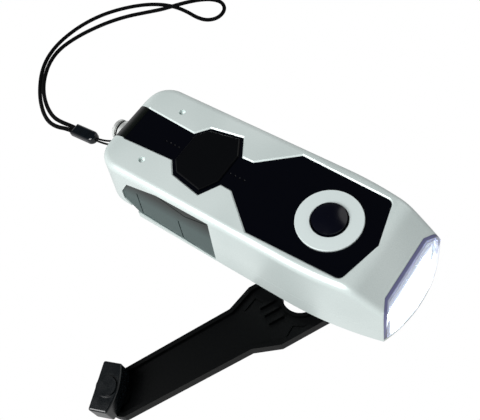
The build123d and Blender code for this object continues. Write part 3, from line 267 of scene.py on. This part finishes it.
# ---------------------------------------------------------------------------------------------
# The tail post: turned brass, satin chromed. It holds the cord in its neck, and a zinc
# plated nut inside the shell holds the post.
chrome, tree, shader, place = new_finish(
    "satin_chrome_plate", Base_Color=hex_colour("#f0f3f1"), Metallic=0.65, Roughness=0.3
)
TURNING_MM = 0.25
turning = add_node(
    tree,
    "ShaderNodeTexWave",
    {"bands_direction": "X", "Scale": per_metre(TURNING_MM) / 20, "Distortion": 0.4, "Detail": 1.0},
    {"Vector": place},
)
emboss(tree, shader, turning.outputs["Fac"], 0.06, 0.00005)
dress(chrome, "lanyard_post")

# ---------------------------------------------------------------------------------------------
# The shells: moulded ABS halves, sprayed with a cool silver lacquer under a thin satin coat. The
# flake is far finer than a pixel, so it is drawn a little coarser, as a faint sparkle of tone.
lacquer, tree, shader, place = new_finish(
    "satin_silver_lacquer", Metallic=0.3, Roughness=0.38, Coat_Weight=0.2, Coat_Roughness=0.25
)
FLAKE_MM = 0.3
CLOUD_MM = 30.0
flake = speckle(tree, place, FLAKE_MM, 2.0)
cloud = speckle(tree, place, CLOUD_MM, 1.0)
mixed = add_node(
    tree,
    "ShaderNodeMix",
    {"data_type": "FLOAT", 0: 0.6},
    {2: flake, 3: cloud},
)
silver = tone_between(tree, mixed.outputs[0], "#c6d2d0", "#e0eae8", 0.3, 0.7)
emboss(tree, shader, flake, 0.08, 0.00005)
tree.links.new(silver, shader.inputs["Base Color"])
dress(lacquer, "bottom_shell")

# The upper half is masked where the inlay runs out over the rounded tail, and sprayed gloss black.
BAND_START_X = -0.0998
BAND_LOW_Z = 0.0297
BAND_HALF = 0.0085
BAND_WIDENING = 0.052
upper_lacquer = lacquer.copy()
upper_lacquer.name = "satin_silver_lacquer_with_black_tail_band"
tree = upper_lacquer.node_tree
shader = tree.nodes["Principled BSDF"]
place = add_node(tree, "ShaderNodeTexCoord").outputs["Object"]
tail_split = add_node(tree, "ShaderNodeSeparateXYZ", {}, {0: place})
behind = add_node(
    tree, "ShaderNodeMath", {"operation": "SUBTRACT", 0: BAND_START_X}, {1: tail_split.outputs["X"]}
)
is_behind = add_node(
    tree, "ShaderNodeMath", {"operation": "GREATER_THAN", 1: 0.0}, {0: behind.outputs[0]}
)
is_high = add_node(
    tree, "ShaderNodeMath", {"operation": "GREATER_THAN", 1: BAND_LOW_Z}, {0: tail_split.outputs["Z"]}
)
sideways = add_node(tree, "ShaderNodeMath", {"operation": "ABSOLUTE"}, {0: tail_split.outputs["Y"]})
band_edge = add_node(
    tree,
    "ShaderNodeMath",
    {"operation": "MULTIPLY_ADD", 1: BAND_WIDENING, 2: BAND_HALF},
    {0: behind.outputs[0]},
)
is_inside = add_node(
    tree, "ShaderNodeMath", {"operation": "LESS_THAN"}, {0: sideways.outputs[0], 1: band_edge.outputs[0]}
)
both_ways = add_node(
    tree, "ShaderNodeMath", {"operation": "MULTIPLY"}, {0: is_behind.outputs[0], 1: is_high.outputs[0]}
)
in_band = add_node(
    tree, "ShaderNodeMath", {"operation": "MULTIPLY"}, {0: both_ways.outputs[0], 1: is_inside.outputs[0]}
)
black_gloss = add_node(
    tree,
    "ShaderNodeBsdfPrincipled",
    {"Base Color": hex_colour("#050907"), "Roughness": 0.22, "IOR": 1.5},
)
band_mix = add_node(
    tree,
    "ShaderNodeMixShader",
    {},
    {0: in_band.outputs[0], 1: shader.outputs[0], 2: black_gloss.outputs[0]},
)
tree.links.new(band_mix.outputs[0], tree.nodes["Material Output"].inputs["Surface"])
dress(upper_lacquer, "top_shell")

# ---------------------------------------------------------------------------------------------
# The grips: dark grey thermoplastic rubber, moulded with a fine spark texture and clipped into
# the shells, with thin lines round each pad. Their colour darkens towards the upper rim as painted
# shade.
grip_rubber, tree, shader, place = new_finish("moulded_grip_rubber", Roughness=0.42, IOR=1.5)
SPARK_MM = 0.35
spark = speckle(tree, place, SPARK_MM, 3.0)
grip_tone = tone_between(tree, spark, "#303f3e", "#4b5d5c")
# Painted shade: between these heights the grip colour darkens to #161d1c towards the upper rim.
PAINTED_SHADE_LOW_Z = 0.0240
PAINTED_SHADE_HIGH_Z = 0.0320
grip_split = add_node(tree, "ShaderNodeSeparateXYZ", {}, {0: place})
painted_shade_amount = add_node(
    tree,
    "ShaderNodeMapRange",
    {"From Min": PAINTED_SHADE_LOW_Z, "From Max": PAINTED_SHADE_HIGH_Z},
    {"Value": grip_split.outputs["Z"]},
)
grip_with_painted_shade = add_node(
    tree,
    "ShaderNodeMix",
    {"data_type": "RGBA", 7: hex_colour("#161d1c")},
    {0: painted_shade_amount.outputs["Result"], 6: grip_tone},
)
emboss(tree, shader, spark, 0.2, 0.00008)
tree.links.new(grip_with_painted_shade.outputs[2], shader.inputs["Base Color"])
dress(grip_rubber, "left_grip", "right_grip")

# ---------------------------------------------------------------------------------------------
# The inlay: a plate of high gloss black acrylic, glued into the top face. Its polish shows long
# soft reflections and hardly any texture.


def vary_roughness(tree, shader, pattern, low, high):
    """Lets a pattern set how polished a surface is."""
    spread = add_node(tree, "ShaderNodeMapRange", {"To Min": low, "To Max": high}, {"Value": pattern})
    tree.links.new(spread.outputs["Result"], shader.inputs["Roughness"])


acrylic, tree, shader, place = new_finish(
    "polished_black_acrylic", Base_Color=hex_colour("#010207"), IOR=1.49
)
SCUFF_MM = 6.0
scuff = speckle(tree, place, SCUFF_MM, 4.0)
vary_roughness(tree, shader, scuff, 0.05, 0.13)
dress(acrylic, "inlay_panel")

# The hexagonal pad: the same black, with an even satin spark texture.
satin_abs, tree, shader, place = new_finish(
    "satin_black_abs", Base_Color=hex_colour("#010204"), Roughness=0.34, Specular_IOR_Level=0.25
)
pad_grain = speckle(tree, place, SPARK_MM, 2.0)
emboss(tree, shader, pad_grain, 0.12, 0.00005)
dress(satin_abs, "hex_pad")

# ---------------------------------------------------------------------------------------------
# The ring: stamped aluminium, spun against a brush so that its fine lines run round the button.
ring_metal, tree, shader, place = new_finish(
    "spun_aluminium", Base_Color=hex_colour("#d3dedd"), Metallic=0.15, Roughness=0.36
)
SWITCH_PLACE = (-0.0057, 0.0, 0.0)
BRUSH_MM = 0.3
centred = add_node(tree, "ShaderNodeVectorMath", {"operation": "SUBTRACT", 1: SWITCH_PLACE}, {0: place})
brushed = add_node(
    tree,
    "ShaderNodeTexWave",
    {
        "wave_type": "RINGS",
        "rings_direction": "Z",
        "Scale": per_metre(BRUSH_MM) / 20,
        "Distortion": 1.0,
        "Detail": 3.0,
    },
    {"Vector": centred.outputs[0]},
)
emboss(tree, shader, brushed.outputs["Fac"], 0.12, 0.00004)
dress(ring_metal, "switch_ring")

# The button: a domed cap of very dark blue ABS, polished, that slides in the ring.
button_abs, tree, shader, place = new_finish(
    "polished_navy_abs", Base_Color=hex_colour("#03040e"), IOR=1.53
)
haze = speckle(tree, place, FLOW_MM, 2.0)
vary_roughness(tree, shader, haze, 0.1, 0.22)
dress(button_abs, "push_button")

# ---------------------------------------------------------------------------------------------
# The lens: clear polycarbonate, moulded in one bowed piece. A dark band along its set-back edge
# is painted shade of the gap to the shell, and the lens has a weak painted glow of its own.
LENS_BACK_X = 0.0244
LENS_BACK_HALF = 0.0134
LENS_SLANT = 0.486
# Painted shade: a dark band this wide along the set-back edge stands for the shadowed gap to the shell.
GAP_SHADE_WIDTH = 0.0009
GAP_SHADE_BLEND = 0.0003
# Painted light: the lens glows weakly, standing for LED light scattered inside it.
LENS_PAINTED_GLOW = 0.28
clear_pc, tree, shader, place = new_finish(
    "clear_polycarbonate",
    Base_Color=hex_colour("#f2f4fb"),
    Roughness=0.05,
    IOR=1.585,
    Transmission_Weight=1.0,
    Emission_Color=hex_colour("#eaf2ff"),
    Emission_Strength=LENS_PAINTED_GLOW,
)
split = add_node(tree, "ShaderNodeSeparateXYZ", {}, {0: place})
off_middle = add_node(tree, "ShaderNodeMath", {"operation": "ABSOLUTE"}, {0: split.outputs["Y"]})
past_corner = add_node(
    tree, "ShaderNodeMath", {"operation": "SUBTRACT", 1: LENS_BACK_HALF}, {0: off_middle.outputs[0]}
)
only_past = add_node(
    tree, "ShaderNodeMath", {"operation": "MAXIMUM", 1: 0.0}, {0: past_corner.outputs[0]}
)
slanted = add_node(
    tree, "ShaderNodeMath", {"operation": "MULTIPLY", 1: LENS_SLANT}, {0: only_past.outputs[0]}
)
edge_x = add_node(
    tree, "ShaderNodeMath", {"operation": "SUBTRACT"}, {0: split.outputs["X"], 1: slanted.outputs[0]}
)
in_gap_shade = add_node(
    tree,
    "ShaderNodeMapRange",
    {"From Min": LENS_BACK_X + GAP_SHADE_WIDTH, "From Max": LENS_BACK_X + GAP_SHADE_WIDTH + GAP_SHADE_BLEND},
    {"Value": edge_x.outputs[0]},
)
# Painted shade of the gap: the dark band's surface.
painted_gap_shade = add_node(
    tree, "ShaderNodeBsdfPrincipled", {"Base Color": hex_colour("#66678a"), "Roughness": 0.2}
)
lens_mix = add_node(
    tree,
    "ShaderNodeMixShader",
    {},
    {0: in_gap_shade.outputs["Result"], 1: painted_gap_shade.outputs[0], 2: shader.outputs[0]},
)
tree.links.new(lens_mix.outputs[0], tree.nodes["Material Output"].inputs["Surface"])
dress(clear_pc, "lens_cover")

# The reflector: one block of ABS with three bowls, vacuum metallised.
metallised, tree, shader, place = new_finish(
    "vacuum_metallised_abs", Base_Color=hex_colour("#dfe3ea"), Metallic=1.0, Roughness=0.15
)
pits = speckle(tree, place, 1.2, 2.0)
emboss(tree, shader, pits, 0.08, 0.0001)
dress(metallised, "reflector")

# The lights: 5 mm white LEDs in water-clear epoxy, switched on, so their tips glow cool white.
epoxy, tree, shader, place = new_finish(
    "lit_clear_epoxy",
    Base_Color=hex_colour("#f4f8ff"),
    Roughness=0.1,
    Emission_Color=hex_colour("#eaf2ff"),
)
LED_BASE_X = 0.020
LED_TIP_X = 0.0286
LED_BASE_GLOW = 16.0
LED_TIP_GLOW = 50.0
led_split = add_node(tree, "ShaderNodeSeparateXYZ", {}, {0: place})
led_glow = add_node(
    tree,
    "ShaderNodeMapRange",
    {"From Min": LED_BASE_X, "From Max": LED_TIP_X, "To Min": LED_BASE_GLOW, "To Max": LED_TIP_GLOW},
    {"Value": led_split.outputs["X"]},
)
tree.links.new(led_glow.outputs["Result"], shader.inputs["Emission Strength"])
dress(epoxy, "led_left", "led_middle", "led_right")

# ---------------------------------------------------------------------------------------------
# The crank: glass-filled nylon, moulded black with an even fine texture that scatters light.
nylon, tree, shader, place = new_finish("black_textured_nylon", Roughness=0.42, Specular_IOR_Level=0.08)
TEXTURE_MM = 0.4
arm_noise = speckle(tree, place, TEXTURE_MM, 3.0)
arm_tone = tone_between(tree, arm_noise, "#020303", "#050607")
emboss(tree, shader, arm_noise, 0.25, 0.0001)
tree.links.new(arm_tone, shader.inputs["Base Color"])
dress(nylon, "crank_turret", "crank_arm")

# The knob: black ABS, half polished by fingers, turning on a headed pin of the same black.
knob_abs, tree, shader, place = new_finish(
    "half_polished_black_abs", Base_Color=hex_colour("#04080b"), IOR=1.53
)
rub = speckle(tree, place, 4.0, 3.0)
vary_roughness(tree, shader, rub, 0.14, 0.34)
dress(knob_abs, "crank_knob", "knob_pin")

# ---------------------------------------------------------------------------------------------
# Pins, axles, screws, washer and nut: turned or rolled steel, zinc plated, with fine tool lines.
zinc, tree, shader, place = new_finish(
    "zinc_plated_steel", Base_Color=hex_colour("#b9bcbe"), Metallic=1.0
)
tool_lines = speckle(tree, place, 0.5, 4.0)
vary_roughness(tree, shader, tool_lines, 0.22, 0.42)
dress(
    zinc,
    "hinge_pin",
    "hub_washer",
    "first_axle",
    "second_axle",
    "rotor_shaft",
    "plate_screws",
    "body_screws",
    "post_nut",
)

# The gears: natural acetal, moulded, milky white and slightly waxy.
acetal, tree, shader, place = new_finish(
    "natural_acetal", Base_Color=hex_colour("#e4e2d8"), IOR=1.48, Subsurface_Weight=0.1
)
wax = speckle(tree, place, 5.0, 2.0)
vary_roughness(tree, shader, wax, 0.28, 0.42)
dress(acetal, "drive_gear", "first_idler", "second_idler")

# The generator: a sintered ferrite rotor inside pressed steel poles and a winding of enamelled
# copper wire 0.2 mm thick, whose turns show as fine rings.
ferrite, tree, shader, place = new_finish("sintered_ferrite", Roughness=0.6, Metallic=0.2)
grit = speckle(tree, place, 0.3, 4.0)
grit_tone = tone_between(tree, grit, "#2e2e31", "#57575b")
tree.links.new(grit_tone, shader.inputs["Base Color"])
dress(ferrite, "rotor_magnet")

pole_steel, tree, shader, place = new_finish(
    "pressed_pole_steel", Base_Color=hex_colour("#8e9194"), Metallic=1.0
)
press_marks = speckle(tree, place, 1.0, 3.0)
vary_roughness(tree, shader, press_marks, 0.32, 0.5)
dress(pole_steel, "stator_core")

copper, tree, shader, place = new_finish(
    "enamelled_copper_wire", Base_Color=hex_colour("#b3662e"), Metallic=1.0, Roughness=0.28
)
WIRE_MM = 0.2
turns = add_node(
    tree,
    "ShaderNodeTexWave",
    {"bands_direction": "Z", "Scale": per_metre(WIRE_MM) / 20},
    {"Vector": place},
)
emboss(tree, shader, turns.outputs["Fac"], 0.4, 0.0001)
dress(copper, "coil_winding")

# The boards: glass epoxy under green solder mask, where copper tracks show as lighter lines.
solder_mask, tree, shader, place = new_finish("green_solder_mask", Roughness=0.28, IOR=1.5)
TRACK_MM = 1.6
tracks = add_node(
    tree,
    "ShaderNodeTexBrick",
    {
        "Scale": per_metre(TRACK_MM) / 4,
        "Mortar Size": 0.06,
        "Color1": hex_colour("#0f4a2a"),
        "Color2": hex_colour("#11552f"),
        "Mortar": hex_colour("#2c7a4c"),
    },
    {"Vector": place},
)
tree.links.new(tracks.outputs["Color"], shader.inputs["Base Color"])
dress(solder_mask, "main_board", "led_board")

# The tray, the gear plate and the push switch: plain black moulded nylon.
plain_nylon, tree, shader, place = new_finish("plain_black_nylon", Roughness=0.45, IOR=1.53)
plain_noise = speckle(tree, place, 1.5, 3.0)
plain_tone = tone_between(tree, plain_noise, "#141516", "#232527")
tree.links.new(plain_tone, shader.inputs["Base Color"])
dress(plain_nylon, "battery_tray", "gear_plate", "push_switch")

# The cells: steel cans in a shrunk green film, bare at both ends.
CELL_FILM_END = -0.0565
film, tree, shader, place = new_finish("shrunk_green_film", Roughness=0.25, IOR=1.5)
film_split = add_node(tree, "ShaderNodeSeparateXYZ", {}, {0: place})
past_film = add_node(
    tree,
    "ShaderNodeMapRange",
    {"From Min": CELL_FILM_END, "From Max": CELL_FILM_END + 0.0001},
    {"Value": film_split.outputs["X"]},
)
film_tone = add_node(
    tree,
    "ShaderNodeMix",
    {"data_type": "RGBA", 6: hex_colour("#1d7a44"), 7: hex_colour("#b4b7ba")},
    {0: past_film.outputs["Result"]},
)
tree.links.new(film_tone.outputs[2], shader.inputs["Base Color"])
tree.links.new(past_film.outputs["Result"], shader.inputs["Metallic"])
dress(film, "battery_cell_1", "battery_cell_2", "battery_cell_3")

# ---------------------------------------------------------------------------------------------
# The studio: plain white all round, so whatever folds down below the rest plane still shows. The
# sky lights the torch from below and from the horizon, as a white table and far walls would.
HORIZON_GLOW = 0.6
OVERHEAD_GLOW = 0.04
world = bpy.data.worlds.new("studio")
world.use_nodes = True
bpy.context.scene.world = world
sky = world.node_tree.nodes["Background"]
sky.inputs["Color"].default_value = (1, 1, 1, 1)
sky_seen = add_node(world.node_tree, "ShaderNodeLightPath")
sky_place = add_node(world.node_tree, "ShaderNodeTexCoord")
sky_split = add_node(world.node_tree, "ShaderNodeSeparateXYZ", {}, {0: sky_place.outputs["Generated"]})
wall_glow = add_node(
    world.node_tree,
    "ShaderNodeMapRange",
    {"From Min": 0.1, "From Max": 0.55, "To Min": HORIZON_GLOW, "To Max": OVERHEAD_GLOW},
    {"Value": sky_split.outputs["Z"]},
)
sky_strength = add_node(
    world.node_tree,
    "ShaderNodeMix",
    {"data_type": "FLOAT", 3: 1.0},
    {0: sky_seen.outputs["Is Camera Ray"], 2: wall_glow.outputs["Result"]},
)
world.node_tree.links.new(sky_strength.outputs[0], sky.inputs["Strength"])

# The key is a soft box close to the near side, so its light falls off across the torch.
KEY_PLACE = Vector((-0.12, -0.37, 0.46))
KEY_AIM = Vector((-0.05, 0.0, 0.02))
KEY_SIZE = 0.4
KEY_WATTS = 4.8
key_data = bpy.data.lights.new("key_box", "AREA")
key_data.shape = "SQUARE"
key_data.size = KEY_SIZE
key_data.energy = KEY_WATTS
key = bpy.data.objects.new("key_box", key_data)
key.rotation_mode = "QUATERNION"
key.rotation_quaternion = (KEY_PLACE - KEY_AIM).to_track_quat("Z", "Y")
key.location = KEY_PLACE
bpy.context.scene.collection.objects.link(key)

# The fill is a weak, far one on the other side.
FILL_WAY = Vector((0.2, 0.75, 0.6))
FILL_SPREAD = math.radians(50)
FILL_STRENGTH = 0.45
fill_data = bpy.data.lights.new("fill_box", "SUN")
fill_data.angle = FILL_SPREAD
fill_data.energy = FILL_STRENGTH
fill = bpy.data.objects.new("fill_box", fill_data)
fill.rotation_mode = "QUATERNION"
fill.rotation_quaternion = FILL_WAY.to_track_quat("Z", "Y")
fill.location = FILL_WAY
bpy.context.scene.collection.objects.link(fill)

bpy.context.scene.view_settings.view_transform = "Standard"
